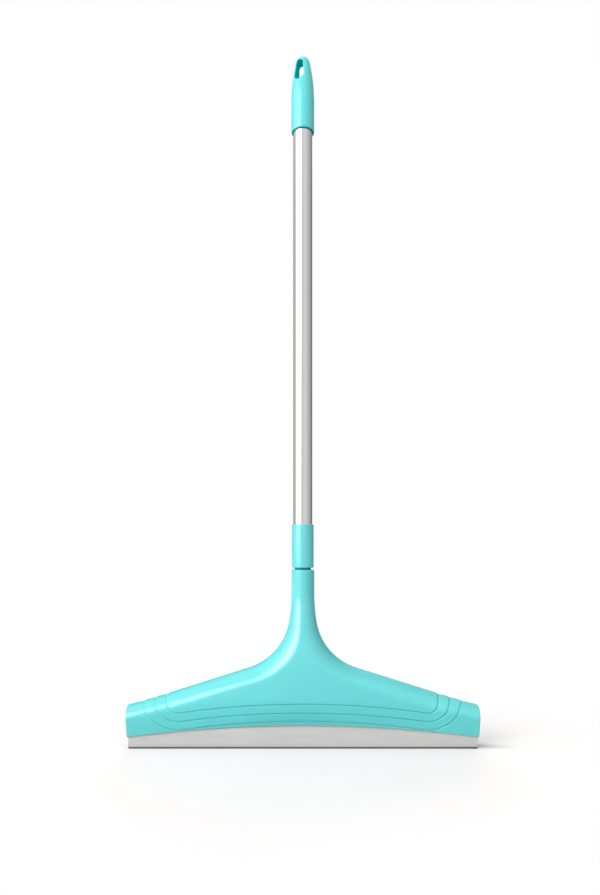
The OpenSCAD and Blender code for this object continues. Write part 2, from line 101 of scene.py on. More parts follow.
KINK = (LINE_X, end_line_z(LINE_X))
END_N = (math.sin(END_SLOPE), math.cos(END_SLOPE))
SHOULDER_N = (math.sin(SHOULDER_SLOPE), math.cos(SHOULDER_SLOPE))
NECK_LEAN = neck_lean(FLARE_TOP)
NECK_N = (math.cos(NECK_LEAN), math.sin(NECK_LEAN))
ALONG_SHOULDER = (math.cos(SHOULDER_SLOPE), -math.sin(SHOULDER_SLOPE))
ALONG_NECK = (-math.sin(NECK_LEAN), math.cos(NECK_LEAN))
FLARE_R = ((neck_x(FLARE_TOP) - KINK[0]) * SHOULDER_N[0] + (FLARE_TOP - KINK[1]) * SHOULDER_N[1]) / (
    1 - NECK_N[0] * SHOULDER_N[0] - NECK_N[1] * SHOULDER_N[1])
FLARE_C = (neck_x(FLARE_TOP) + FLARE_R * NECK_N[0], FLARE_TOP + FLARE_R * NECK_N[1])
FLARE_FOOT = (FLARE_C[0] - FLARE_R * SHOULDER_N[0], FLARE_C[1] - FLARE_R * SHOULDER_N[1])


def rounded_corner(at, a, b, r):
    half = math.acos(a[0] * b[0] + a[1] * b[1]) / 2
    along = Vector((a[0] + b[0], a[1] + b[1])).normalized()
    return (at[0] + along.x * r / math.sin(half), at[1] + along.y * r / math.sin(half))


CORNER_BIG = CORNER_R + RELIEF
CORNER_C = rounded_corner(
    (wall_x(end_line_z(OUTER_X)), end_line_z(OUTER_X)),
    (-math.sin(END_LEAN), -math.cos(END_LEAN)),
    (-math.cos(END_SLOPE), math.sin(END_SLOPE)),
    CORNER_BIG,
)


def on_wall(z):
    return (wall_x(z), z), (math.cos(END_LEAN), -math.sin(END_LEAN))


def on_corner(f):
    n = polar(1, mix(-END_LEAN, math.pi / 2 - END_SLOPE, f))
    return (CORNER_C[0] + CORNER_BIG * n[0], CORNER_C[1] + CORNER_BIG * n[1]), n


def on_end(x):
    return (x, end_line_z(x)), END_N


def on_shoulder(x):
    return (x, KINK[1] + (KINK[0] - x) * math.tan(SHOULDER_SLOPE)), SHOULDER_N


def on_flare(f):
    n = polar(1, mix(math.pi / 2 - SHOULDER_SLOPE, NECK_LEAN, f))
    return (FLARE_C[0] - FLARE_R * n[0], FLARE_C[1] - FLARE_R * n[1]), n


def moved(spot, inset):
    return (spot[0][0] - inset * spot[1][0], spot[0][1] - inset * spot[1][1])


def edge_distance(x, z):
    dx, dz = x - FLARE_C[0], z - FLARE_C[1]
    if dx * ALONG_SHOULDER[0] + dz * ALONG_SHOULDER[1] > 0:
        kx, kz = KINK[0] - x, KINK[1] - z
        return max(kx * SHOULDER_N[0] + kz * SHOULDER_N[1], kx * END_N[0] + kz * END_N[1])
    if dx * ALONG_NECK[0] + dz * ALONG_NECK[1] > 0:
        return (neck_x(z) - x) * math.cos(neck_lean(z))
    return math.hypot(dx, dz) - FLARE_R


def half_depth(x, z, inset):
    above = z - ARCH_Z + (ARCH_Z - END_Z) * (x / OUTER_X) ** 2
    belly = BELLY * ease(1 - x / BELLY_REACH)
    neck = NECK_R + (NECK_TOP - z) * NECK_DRAFT
    depth = mix(FACE_DEPTH + belly, neck, ease((z - FACE_TOP) / (BOW_FROM - FACE_TOP)))
    depth -= (TUCK + belly) * max(0.0, 1 - max(0.0, above) / TUCK_REACH) ** 2
    low = mix(ROUND_MIDDLE, ROUND_END, ease(x / OUTER_X))
    reach = mix(low, neck_x(z), ease((z - ROUND_FROM) / (FLARE_TOP - ROUND_FROM)))
    edge = max(LEAST_EDGE, END_EDGE - max(0.0, inset - RELIEF))
    end = ((wall_x(z) - x) * math.cos(END_LEAN) - inset) / edge
    return (depth - inset) * quarter((edge_distance(x, z) - inset) / (reach - inset)) * quarter(end)


ARCH_SHARE, CORNER_SHARE = 0.5, 0.72
CORNER_FROM, CORNER_TO = math.radians(262), math.radians(345)


def rise_share(s):
    return 1 - (1 - (s - CORNER_SHARE) / (1 - CORNER_SHARE)) ** 2


def line_end(k, inset):
    return moved(on_end(LINE_X + LINE_DX * k), inset)


def line_point(k, s, inset):
    rx, rz = LINE_R + LINE_GAP_X * k, LINE_R + LINE_GAP * k
    cx, cz = LINE_CENTRE
    if s < ARCH_SHARE:
        f = s / ARCH_SHARE
        fx, fz = rx * math.cos(CORNER_FROM), rz * math.sin(CORNER_FROM)
        high = cz + LINE_RISE + FIRST_LIFT * max(0.0, 1 - k) - rz
        return ((cx + fx) * f, high - (high - cz - fz) * f * f)
    if s < CORNER_SHARE:
        a = mix(CORNER_FROM, CORNER_TO, (s - ARCH_SHARE) / (CORNER_SHARE - ARCH_SHARE))
        return (cx + rx * math.cos(a), cz + rz * math.sin(a))
    tx, tz = cx + rx * math.cos(CORNER_TO), cz + rz * math.sin(CORNER_TO)
    lx, lz = line_end(k, inset)
    way = math.atan2(rz * math.cos(CORNER_TO), -rx * math.sin(CORNER_TO))
    bx, bz = polar(math.hypot(lx - tx, lz - tz) / 2, way)
    e = rise_share(s)
    return (
        (1 - e) ** 2 * tx + 2 * e * (1 - e) * (tx + bx) + e * e * lx,
        (1 - e) ** 2 * tz + 2 * e * (1 - e) * (tz + bz) + e * e * lz,
    )


def step_spread(s):
    return 1 + ease((s - ARCH_SHARE) / (CORNER_SHARE - ARCH_SHARE))


def groove_share(s, k):
    corner_loss = 0.6 + 0.1 * k
    return ease((1 - s) / CREST_FADE) * (1 - corner_loss * (step_spread(s) - 1))


def lower_edge(s, inset, drop):
    last = wall_x(END_Z) - inset
    run = last - END_RUN
    if s < ARCH_SHARE:
        x = LINE_CENTRE[0] * s / ARCH_SHARE
    elif s < CORNER_SHARE:
        x = mix(LINE_CENTRE[0], run, (s - ARCH_SHARE) / (CORNER_SHARE - ARCH_SHARE))
    else:
        x = mix(run, last, rise_share(s))
    return (x, ARCH_Z - drop - (ARCH_Z - END_Z) * (x / last) ** 2)


def end_band(f, spot, s, inset, drop, foot=0.0):
    low = lower_edge(s, inset, drop)
    high = line_point(STEPS - 1 + foot * step_spread(s), s, inset)
    want = moved(spot, inset)
    a, b = lower_edge(1, inset, drop), line_end(STEPS - 1 + foot * step_spread(1), inset)
    w = max(0.0, (s - ARCH_SHARE) / (1 - ARCH_SHARE)) ** 2
    return tuple(mix(low[i], high[i], f) + (want[i] - mix(a[i], b[i], f)) * w for i in (0, 1))


def upper_band(g, spot, s, inset):
    first, base, last = line_end(0, inset), line_point(0, s, inset), moved(spot, inset)
    low = line_point(0, 0, inset)[1]
    share = base[0] / first[0]
    across = mix(share, math.sin(math.pi / 2 * s), g)
    sag = base[1] - mix(low, first[1], share)
    high = mix(low, FLARE_TOP, g ** ROW_SPREAD)
    return (last[0] * across, mix(high, last[1], across) + sag * (1 - g) ** 2 * last[0] / first[0])


def hood_ring(points, inset, dips=None):
    dips = dips or [0.0] * len(points)
    depths = [half_depth(x, z, inset + dip) for (x, z), dip in zip(points[:-1], dips)] + [0.0]
    front = [(x, -d, z) for (x, z), d in zip(points, depths)]
    ring = front + [(x, -y, z) for x, y, z in front[-2::-1]]
    return ring + [(-x, -y, z) for x, y, z in front[1:]] + [(-x, y, z) for x, y, z in front[-2:0:-1]]


def quads(base, n, bands):
    return [
        (base + k * n + i, base + k * n + (i + 1) % n, base + (k + 1) * n + (i + 1) % n, base + (k + 1) * n + i)
        for k in range(bands)
        for i in range(n)
    ]


def shape(name, verts, faces):
    mesh = bpy.data.meshes.new(name)
    mesh.from_pydata([tuple(c * MM for c in v) for v in verts], [], faces)
    obj = bpy.data.objects.new(name, mesh)
    bpy.context.scene.collection.objects.link(obj)
    return obj


def smooth(obj, merge):
    bm = bmesh.new()
    bm.from_mesh(obj.data)
    bmesh.ops.remove_doubles(bm, verts=bm.verts, dist=merge)
    bmesh.ops.recalc_face_normals(bm, faces=bm.faces)
    bm.to_mesh(obj.data)
    bm.free()
    obj.data.shade_smooth()


def skin(name, rings, first_point=None, last_point=None):
    verts = [p for r in rings for p in r]
    m = len(rings[0])
    faces = quads(0, m, len(rings) - 1)
    if first_point:
        verts.append(first_point)
        faces += [((i + 1) % m, i, len(verts) - 1) for i in range(m)]
    if last_point:
        verts.append(last_point)
        base = (len(rings) - 1) * m
        faces += [(base + i, base + (i + 1) % m, len(verts) - 1) for i in range(m)]
    obj = shape(name, verts, faces)
    smooth(obj, 2e-6)
    return obj


def hood_columns():
    arch = [ARCH_SHARE * i / 40 for i in range(40)]
    bend = [mix(ARCH_SHARE, CORNER_SHARE, i / 18) for i in range(18)]
    rise = [mix(CORNER_SHARE, 1, i / 18) for i in range(19)]
    return arch + bend + rise


def hood_rings():
    cols = hood_columns()
    inner = RELIEF + WALL
    straight = math.hypot(KINK[0] - FLARE_FOOT[0], KINK[1] - FLARE_FOOT[1])
    curved = FLARE_R * (math.pi / 2 - SHOULDER_SLOPE - NECK_LEAN)
    top_z, top_x = on_corner(0)[0][1], on_corner(1)[0][0]
    foot = STEP_ROWS[0] / LINE_GAP

    def end_rows(z0, n_wall, n_corner, n_top, foot=0.0):
        n = n_wall + n_corner + n_top
        last = LINE_X + LINE_DX * (STEPS - 1 + foot * step_spread(1))
        rows = [(i / n, on_wall(mix(z0, top_z, i / n_wall))) for i in range(n_wall)]
        rows += [((n_wall + i) / n, on_corner(i / n_corner)) for i in range(n_corner)]
        return rows + [((n_wall + n_corner + i) / n, on_end(mix(top_x, last, i / n_top))) for i in range(n_top)]

    def upper_rows(n_shoulder, n_flare):
        rows = []
        for i in range(1, n_shoulder + 1):
            f = i / n_shoulder
            rows.append((f * straight / (straight + curved), on_shoulder(mix(KINK[0], FLARE_FOOT[0], f))))
        for i in range(1, n_flare + 1):
            f = i / n_flare
            rows.append(((straight + f * curved) / (straight + curved), on_flare(f)))
        return rows

    def neck_ring(z, inset):
        return hood_ring([((neck_x(z) - inset) * math.sin(math.pi / 2 * s), z) for s in cols], inset)

    def round_ring(r, z):
        return hood_ring([(r * math.sin(math.pi / 2 * s), z) for s in cols], neck_x(z) - r)

    hollow = [neck_ring(z, inner) for z in (HOLLOW_TOP, mix(HOLLOW_TOP, FLARE_TOP, 0.5))]
    for g, spot in upper_rows(8, 10)[::-1]:
        hollow.append(hood_ring([upper_band(g, spot, s, inner) for s in cols], inner))
    for k in (0, 0.5, 1, 1.5, 2):
        hollow.append(hood_ring([line_point(k, s, inner) for s in cols], inner))
    for f, spot in end_rows(END_Z, 8, 6, 3)[:0:-1]:
        hollow.append(hood_ring([end_band(f, spot, s, inner, -LIP_IN) for s in cols], inner))

    lip = []
    for angle in (0, 22.5, 45, 67.5, 90):
        t = math.radians(angle)
        lip.append((inner - LIP_IN * (1 - math.cos(t)), -LIP_IN * (1 - math.sin(t))))
    for angle in (90, 72, 54, 36, 18, 0):
        t = math.radians(angle)
        lip.append((RELIEF + LIP_OUT * (1 - math.cos(t)), -LIP_OUT * (1 - math.sin(t))))
    lip_rings = []
    for inset, drop in lip:
        spot = on_wall(END_Z - drop)
        lip_rings.append(hood_ring([end_band(0, spot, s, inset, drop) for s in cols], inset))

    outer = []
    for f, spot in end_rows(END_Z, 14, 12, 8, foot):
        if f > LIP_CLEAR:
            outer.append(hood_ring([end_band(f, spot, s, RELIEF, -LIP_OUT, foot) for s in cols], RELIEF))
    for k in range(STEPS - 1, -1, -1):
        for o in STEP_ROWS:
            groove = GROOVE * max(0.0, 1 - ((o - GROOVE_AT) / GROOVE_HALF) ** 2)
            inset = STEP_H * (k + ease((o + STEP_HALF_RUN) / (2 * STEP_HALF_RUN)))
            points = [line_point(k + o * step_spread(s) / LINE_GAP, s, inset) for s in cols]
            outer.append(hood_ring(points, inset, [groove * groove_share(s, k) for s in cols]))
        if k:
            for f in (0.3, 0.5, 0.65):
                outer.append(hood_ring([line_point(k - f, s, STEP_H * k) for s in cols], STEP_H * k))
    for g, spot in upper_rows(30, 34):
        outer.append(hood_ring([upper_band(g, spot, s, 0) for s in cols], 0))

    neck = [neck_ring(mix(FLARE_TOP, NECK_TOP - NECK_RIM, i / 18), 0) for i in range(1, 19)]
    for angle in range(12, 91, 13):
        t = math.radians(angle)
        neck.append(neck_ring(NECK_TOP - NECK_RIM * (1 - math.sin(t)), NECK_RIM * (1 - math.cos(t))))
    neck += [round_ring(SOCKET_R + out, NECK_TOP - deep) for out, deep in SOCKET_MOUTH]
    neck += [round_ring(SOCKET_R, SOCKET_FLOOR + SOCKET_EDGE), round_ring(SOCKET_R - SOCKET_EDGE, SOCKET_FLOOR)]
    return hollow + lip_rings + outer + neck


def add(tree, kind, inputs=(), **settings):
    node = tree.nodes.new(kind)
    for name, value in settings.items():
        setattr(node, name, value)
    for socket, value in dict(inputs).items():
        node.inputs[socket].default_value = value
    return node


def wire(tree, *links):
    for source, out, target, into in links:
        tree.links.new(source.outputs[out], target.inputs[into])


def blank_material(name):
    mat = bpy.data.materials.new(name)
    mat.use_nodes = True
    return mat, mat.node_tree, mat.node_tree.nodes["Principled BSDF"]


def tint_ramp(tree, colour, places, shares):
    ramp = add(tree, "ShaderNodeValToRGB")
    for stop, place, share in zip(ramp.color_ramp.elements, places, shares):
        stop.position, stop.color = place, [min(1, c * share) for c in colour] + [1]
    return ramp


def moulded_plastic(name, colour, grain, shine, gleam=0.95):
    mat, tree, bsdf = blank_material(name)
    bsdf.inputs["Specular IOR Level"].default_value = gleam
    where = add(tree, "ShaderNodeTexCoord")
    cloud = add(tree, "ShaderNodeTexNoise", {"Scale": 14, "Detail": 3})
    tint = tint_ramp(tree, colour, (0.3, 0.7), (0.965, 1.02))
    pores = add(tree, "ShaderNodeTexNoise", {"Scale": grain, "Detail": 4})
    gloss = add(tree, "ShaderNodeMapRange", {
        "From Min": 0.3, "From Max": 0.7, "To Min": shine - 0.03, "To Max": shine + 0.05})
    bump = add(tree, "ShaderNodeBump", {"Strength": 0.05, "Distance": 0.0002})
    wire(
        tree,
        (where, "Object", cloud, "Vector"),
        (where, "Object", pores, "Vector"),
        (cloud, "Fac", tint, "Fac"),
        (tint, "Color", bsdf, "Base Color"),
        (pores, "Fac", gloss, "Value"),
        (gloss, "Result", bsdf, "Roughness"),
        (pores, "Fac", bump, "Height"),
        (bump, "Normal", bsdf, "Normal"),
    )
    return mat


def dress(obj, mat):
    obj.data.materials.clear()
    obj.data.materials.append(mat)


TURQUOISE = (0.128, 0.670, 0.684)
turquoise = moulded_plastic("turquoise polypropylene", TURQUOISE, 900, 0.13)
hood = skin("hood_moulding", hood_rings(), (0, 0, HOLLOW_TOP), (0, 0, SOCKET_FLOOR))
hood.modifiers.new("even shading", "WEIGHTED_NORMAL")
dress(hood, turquoise)
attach(hood, "head")
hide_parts("head_hood")

# The two wiping strips are matt grey rubber, cut to length from an extruded bar with eased
# long edges. They stand on the floor side by side and hang on pegs inside the hood. Painted
# shade darkens them towards the floor, deepest in a band at the foot that stands in for the contact shadow.
STRIP_HALF, STRIP_OUT, STRIP_T, STRIP_TOP = 286.5, 17.3, 9.0, 48.0
STRIP_FOOT_R, STRIP_HEAD_IN_R, STRIP_HEAD_OUT_R = 1.0, 0.8, 1.4
STRIP_ENDS = ((0.0, 0.7), (0.08, 0.35), (0.3, 0.1), (0.7, 0.0))
# Painted shade by height in mm: a dark band at the foot for the contact shadow, easing to full colour higher up.
FOOT_SHADE, FOOT_SHADE_TOP = ((0, 0.14), (2.4, 0.18), (3.4, 0.86), (9, 0.94), (30, 1.0)), 40


def strip_outline(inset):
    y0, y1 = -STRIP_OUT + inset, -STRIP_OUT + STRIP_T - inset
    z0, z1 = inset, STRIP_TOP - inset
    points = []
    for cy, cz, start, r in (
        (y0, z0, 180, STRIP_FOOT_R),
        (y1, z0, 270, STRIP_FOOT_R),
        (y1, z1, 0, STRIP_HEAD_IN_R),
        (y0, z1, 90, STRIP_HEAD_OUT_R),
    ):
        sy = 1 if cy == y0 else -1
        sz = 1 if cz == z0 else -1
        for i in range(7):
            a = math.radians(start + 15 * i)
            points.append((cy + sy * r + r * math.cos(a), cz + sz * r + r * math.sin(a)))
    return points


def strip_rings():
    stations = [(-STRIP_HALF + d, inset) for d, inset in STRIP_ENDS]
    stations += [(-STRIP_HALF + 1 + (2 * STRIP_HALF - 2) * i / 90, 0.0) for i in range(91)]
    stations += [(STRIP_HALF - d, inset) for d, inset in reversed(STRIP_ENDS)]
    lean = math.tan(END_LEAN) / STRIP_HALF
    return [[(x * (1 + z * lean), y, z) for y, z in strip_outline(inset)] for x, inset in stations]


def matt_rubber(name, colour, grain):
    mat, tree, bsdf = blank_material(name)
    bsdf.inputs["Specular IOR Level"].default_value = 0.3
    where = add(tree, "ShaderNodeTexCoord")
    stretch = add(tree, "ShaderNodeMapping", {"Scale": (0.12, 1, 1)})
    draw = add(tree, "ShaderNodeTexNoise", {"Scale": 120, "Detail": 5})
    tint = tint_ramp(tree, colour, (0.25, 0.75), (0.94, 1.04))
    fine = add(tree, "ShaderNodeTexNoise", {"Scale": grain, "Detail": 3})
    rough = add(tree, "ShaderNodeMapRange", {"To Min": 0.62, "To Max": 0.82})
    bump = add(tree, "ShaderNodeBump", {"Strength": 0.15, "Distance": 0.0003})
    wire(
        tree,
        (where, "Object", stretch, "Vector"),
        (stretch, "Vector", draw, "Vector"),
        (where, "Object", fine, "Vector"),
        (draw, "Fac", tint, "Fac"),
        (tint, "Color", bsdf, "Base Color"),
        (fine, "Fac", rough, "Value"),
        (rough, "Result", bsdf, "Roughness"),
        (fine, "Fac", bump, "Height"),
        (bump, "Normal", bsdf, "Normal"),
    )
    return mat


def ramp_stops(ramp, stops):
    elements = ramp.color_ramp.elements
    for i, (place, tone) in enumerate(stops):
        stop = elements[0] if i == 0 else elements.new(place)
        stop.position, stop.color = place, (tone, tone, tone, 1)
    elements.remove(elements[-1])


# Paints shade into the base colour: a ramp by height multiplies the strips darker towards the floor.
def paint_foot_shade(mat, stops, top):
    tree = mat.node_tree
    tint, bsdf = tree.nodes["Color Ramp"], tree.nodes["Principled BSDF"]
    place = add(tree, "ShaderNodeTexCoord")
    height = add(tree, "ShaderNodeSeparateXYZ")
    level = add(tree, "ShaderNodeMapRange", {"From Max": top * MM})
    shade_ramp = add(tree, "ShaderNodeValToRGB")
    ramp_stops(shade_ramp, [(z / top, tone) for z, tone in stops])
    darken = add(tree, "ShaderNodeMix", {0: 1}, data_type="RGBA", blend_type="MULTIPLY")
    wire(
        tree,
        (place, "Object", height, "Vector"),
        (height, "Z", level, "Value"),
        (level, "Result", shade_ramp, "Fac"),
        (tint, "Color", darken, 6),
        (shade_ramp, "Color", darken, 7),
        (darken, 2, bsdf, "Base Color"),
    )


grey_rubber = matt_rubber("pale grey rubber", (0.59, 0.59, 0.57), 1400)
paint_foot_shade(grey_rubber, FOOT_SHADE, FOOT_SHADE_TOP)
middle = (-STRIP_OUT + STRIP_T / 2, STRIP_TOP / 2)
front_strip = skin("front_strip", strip_rings(), (-STRIP_HALF, *middle), (STRIP_HALF, *middle))
rear_strip = skin(
    "rear_strip",
    [[(-x, -y, z) for x, y, z in ring] for ring in strip_rings()],
    (STRIP_HALF, -middle[0], middle[1]),
    (-STRIP_HALF, -middle[0], middle[1]),
)
for strip, node in ((front_strip, "front_blade"), (rear_strip, "rear_blade")):
    strip.modifiers.new("even shading", "WEIGHTED_NORMAL")
    dress(strip, grey_rubber)
    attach(strip, "head")
    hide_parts(node)

# The clamp bar is a turquoise moulded channel between the strips. Its pegs hold the strips,
# and screws draw it up against the bosses inside the hood.
bar_plastic = moulded_plastic("turquoise bar plastic", (0.12, 0.56, 0.58), 700, 0.42)
dress(nodes["clamp_bar"], bar_plastic)

# The clamp screws are zinc-plated pan heads with a cross recess, driven upward from below
# through the bar.
SCREW_X, SCREW_SIDES = (-230, -115, 0, 115, 230), 48
SCREW_SEAT, SCREW_R, SCREW_LEN = 44.0, 2.0, 22.0
SCREW_HEAD_R, SCREW_HEAD_H, SCREW_FACE_R, SCREW_DOME = 4.0, 2.6, 3.2, 0.25
RECESS_HALF, RECESS_ARM, RECESS_DEEP, RECESS_SLOPE, RECESS_END = 0.45, 2.2, 1.3, 0.25, 0.5
THREAD_ROW, THREAD_DEEP = 0.35, 0.45


def circle(r, z, n, cx=0.0, turn=0.0):
    return [(cx + r * math.cos(turn + 2 * math.pi * i / n), r * math.sin(turn + 2 * math.pi * i / n), z)
            for i in range(n)]


def screw_rings(cx):
    rings = []
    for j in range(19):
        r = SCREW_FACE_R * j / 18
        face_z = SCREW_SEAT - SCREW_HEAD_H + SCREW_DOME * (r / SCREW_FACE_R) ** 2
        ring = []
        for x, y, _ in circle(r, 0, SCREW_SIDES):
            across = min(abs(x), abs(y))
            cross = ease((RECESS_HALF + RECESS_SLOPE - across) / RECESS_SLOPE)
            cross *= ease((RECESS_ARM - r) / RECESS_END)
            ring.append((cx + x, y, face_z + RECESS_DEEP * cross))
        rings.append(ring)
    profile = [(3.55, -2.15), (3.85, -1.75), (SCREW_HEAD_R, -1.2), (SCREW_HEAD_R, -0.15)]
    profile += [(3.85, 0), (SCREW_R, 0)]
    for j in range(int(SCREW_LEN / THREAD_ROW) - 6):
        profile.append((SCREW_R - (THREAD_DEEP if j % 4 < 2 else 0.0), 0.3 + THREAD_ROW * j))
    profile += [(SCREW_R * 0.6, SCREW_LEN - 1.2), (SCREW_R / 4, SCREW_LEN - 0.1)]
    return rings + [circle(r, SCREW_SEAT + z, SCREW_SIDES, cx) for r, z in profile]


def plated_steel(name, colour, shine, grain, stretch_z):
    mat, tree, bsdf = blank_material(name)
    bsdf.inputs["Metallic"].default_value = 1
    where = add(tree, "ShaderNodeTexCoord")
    stretch = add(tree, "ShaderNodeMapping", {"Scale": (1, 1, stretch_z)})
    hair = add(tree, "ShaderNodeTexNoise", {"Scale": grain, "Detail": 5})
    tint = tint_ramp(tree, colour, (0.3, 0.7), (0.95, 1.03))
    rough = add(tree, "ShaderNodeMapRange", {
        "From Min": 0.3, "From Max": 0.7, "To Min": shine - 0.03, "To Max": shine + 0.04})
    wire(
        tree,
        (where, "Object", stretch, "Vector"),
        (stretch, "Vector", hair, "Vector"),
        (hair, "Fac", tint, "Fac"),
        (tint, "Color", bsdf, "Base Color"),
        (hair, "Fac", rough, "Value"),
        (rough, "Result", bsdf, "Roughness"),
    )
    return mat


zinc = plated_steel("zinc plated steel", (0.62, 0.63, 0.64), 0.34, 400, 1)
for cx in SCREW_X:
    screw = skin("clamp_screw", screw_rings(cx), None, (cx, 0, SCREW_SEAT + SCREW_LEN))
    dress(screw, zinc)
    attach(screw, "head")
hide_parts("clamp_screws")

# The neck washer is a teal rubber ring whose deep colour is painted shade for the shadowed gap it
# fills. It sits in the plain neck of the spigot, lifts with the pole and is squeezed between the
# ferrule and the socket's rim.
WASHER_Z0, WASHER_Z1, WASHER_R, WASHER_BORE, POLE_SIDES = 293.0, 296.5, 13.6, 10.2, 144
WASHER_OUTLINE = (
    (WASHER_BORE, WASHER_Z0 + 0.3), (WASHER_BORE + 0.3, WASHER_Z0), (WASHER_R - 0.5, WASHER_Z0),
    (WASHER_R - 0.15, WASHER_Z0 + 0.15), (WASHER_R, WASHER_Z0 + 0.5), (WASHER_R, WASHER_Z1 - 0.5),
    (WASHER_R - 0.15, WASHER_Z1 - 0.15), (WASHER_R - 0.5, WASHER_Z1), (WASHER_BORE + 0.3, WASHER_Z1),
    (WASHER_BORE, WASHER_Z1 - 0.3), (WASHER_BORE, WASHER_Z0 + 0.3),
)
# Painted shade: the washer's dark teal stands in for the shadow between ferrule and socket.
shaded_teal_rubber = matt_rubber("teal rubber with painted shade", (0.012, 0.30, 0.31), 1600)
washer = skin("neck_washer", [circle(r, z, POLE_SIDES) for r, z in WASHER_OUTLINE])
washer.modifiers.new("even shading", "WEIGHTED_NORMAL")
dress(washer, shaded_teal_rubber)
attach(washer, "washer")
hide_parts("neck_washer")

# The ferrule is the turquoise moulding on the pole's foot: a sleeve outside the tube, a plug
# inside it, and below them a coarse-threaded spigot that screws into the hood's neck.
FERRULE_Z0, FERRULE_Z1, FERRULE_R, FERRULE_FOOT_R, FERRULE_LIP_R = 296.5, 368.1, 18.2, 1.2, 0.9
SPIGOT_FOOT, SPIGOT_R, SPIGOT_ROOT, SPIGOT_NECK, PITCH = 261.8, 11.9, 10.5, 10.0, 5.0
TUBE_FOOT, SLEEVE_BORE, PLUG_R, PLUG_BORE = 308.1, 16.1, 14.9, 11.9
CREST_HALF, FLANK, RUN_OUT, THREAD_ROWS = 0.34, 0.16, 3.0, 112


def thread_radius(angle, z):
    phase = ((z - SPIGOT_FOOT) / PITCH - angle / (2 * math.pi)) % 1.0
    flank = ease((CREST_HALF - abs(phase - 0.5)) / FLANK)
    start = ease((z - SPIGOT_FOOT - 0.5) / RUN_OUT)
    stop = ease((NECK_TOP - 1.4 - z) / RUN_OUT)
    return SPIGOT_ROOT + (SPIGOT_R - SPIGOT_ROOT) * flank * min(start, stop)


def ferrule_rings():
    profile = [(6.0, SPIGOT_FOOT), (SPIGOT_ROOT - 0.8, SPIGOT_FOOT), (SPIGOT_ROOT - 0.2, SPIGOT_FOOT + 0.3)]
    rings = [circle(r, z, POLE_SIDES) for r, z in profile]
    for j in range(THREAD_ROWS + 1):
        z = mix(SPIGOT_FOOT + 0.8, NECK_TOP - 1.2, j / THREAD_ROWS)
        turns = [2 * math.pi * i / POLE_SIDES for i in range(POLE_SIDES)]
        rings.append([(*polar(thread_radius(a, z), a), z) for a in turns])
    profile = [
        (SPIGOT_NECK + 0.15, NECK_TOP - 0.5), (SPIGOT_NECK, NECK_TOP), (SPIGOT_NECK, FERRULE_Z0 - 0.3),
        (SPIGOT_NECK + 0.3, FERRULE_Z0), (15.5, FERRULE_Z0), (FERRULE_R - FERRULE_FOOT_R, FERRULE_Z0),
    ]
    for angle in range(15, 91, 15):
        t = math.radians(angle)
        out, up = FERRULE_FOOT_R * (1 - math.sin(t)), FERRULE_FOOT_R * (1 - math.cos(t))
        profile.append((FERRULE_R - out, FERRULE_Z0 + up))
    profile += [(FERRULE_R, FERRULE_Z0 + up) for up in (2, 20, 45)]
    profile.append((FERRULE_R, FERRULE_Z1 - 1.6))
    for angle in range(0, 91, 15):
        t = math.radians(angle)
        inward, down = FERRULE_LIP_R * (1 - math.cos(t)), FERRULE_LIP_R * (1 - math.sin(t))
        profile.append((FERRULE_R - inward, FERRULE_Z1 - down))
    profile += [
        (SLEEVE_BORE + 0.4, FERRULE_Z1), (SLEEVE_BORE + 0.1, FERRULE_Z1 - 0.15), (SLEEVE_BORE, FERRULE_Z1 - 0.5),
        (SLEEVE_BORE, TUBE_FOOT), (PLUG_R, TUBE_FOOT), (PLUG_R, FERRULE_Z1 - 1), (PLUG_R - 1, FERRULE_Z1),
        (PLUG_BORE, FERRULE_Z1), (PLUG_BORE, TUBE_FOOT),
    ]
    return rings + [circle(r, z, POLE_SIDES) for r, z in profile]


ferrule = skin("ferrule_moulding", ferrule_rings(), (0, 0, SPIGOT_FOOT), (0, 0, TUBE_FOOT))
ferrule.modifiers.new("even shading", "WEIGHTED_NORMAL")
dress(ferrule, turquoise)
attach(ferrule, "pole")
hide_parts("pole_ferrule")

# The rivet is a blind aluminium pop rivet on the rear of the ferrule. Its domed head keeps the
# small dimple where the mandrel broke off.
RIVET_Z, RIVET_HEAD_R, RIVET_HEAD_H, RIVET_RIM_H = 338.1, 3.5, 1.6, 0.25
RIVET_SHANK_R, RIVET_TIP, RIVET_SIDES = 1.6, 12.4, 64
RIVET_TOP = FERRULE_R + RIVET_HEAD_H


def rivet_rings():
    profile = [(0.55, RIVET_TOP - 0.5), (0.7, RIVET_TOP - 0.12)]
    for j in range(12):
        r = mix(0.85, RIVET_HEAD_R - 0.05, j / 11)
        dome = math.sqrt(max(0.0, 1 - (r / RIVET_HEAD_R) ** 2))
        profile.append((r, FERRULE_R + RIVET_RIM_H + (RIVET_HEAD_H - RIVET_RIM_H) * dome))
    profile += [(RIVET_HEAD_R, FERRULE_R + 0.1), (RIVET_HEAD_R - 0.1, FERRULE_R)]
    profile += [(RIVET_SHANK_R, FERRULE_R), (RIVET_SHANK_R, RIVET_TIP)]
    return [[(x, y, RIVET_Z + z) for x, z, y in circle(r, y, RIVET_SIDES)] for r, y in profile]


bare_metal = plated_steel("bare rivet aluminium", (0.66, 0.67, 0.68), 0.30, 500, 1)
rivet = skin("ferrule_rivet", rivet_rings(), (0, RIVET_TOP - 0.55, RIVET_Z), (0, RIVET_TIP, RIVET_Z))
dress(rivet, bare_metal)
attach(rivet, "pole")
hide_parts("ferrule_rivet")

# The pole is a thin-walled drawn aluminium tube, polished to a satin shine with faint lines along
# it. Its foot stands in the ferrule and its head in the cap.
tube_metal = plated_steel("satin polished tube", (0.85, 0.838, 0.822), 0.08, 900, 0.002)
dress(nodes["pole_tube"], tube_metal)
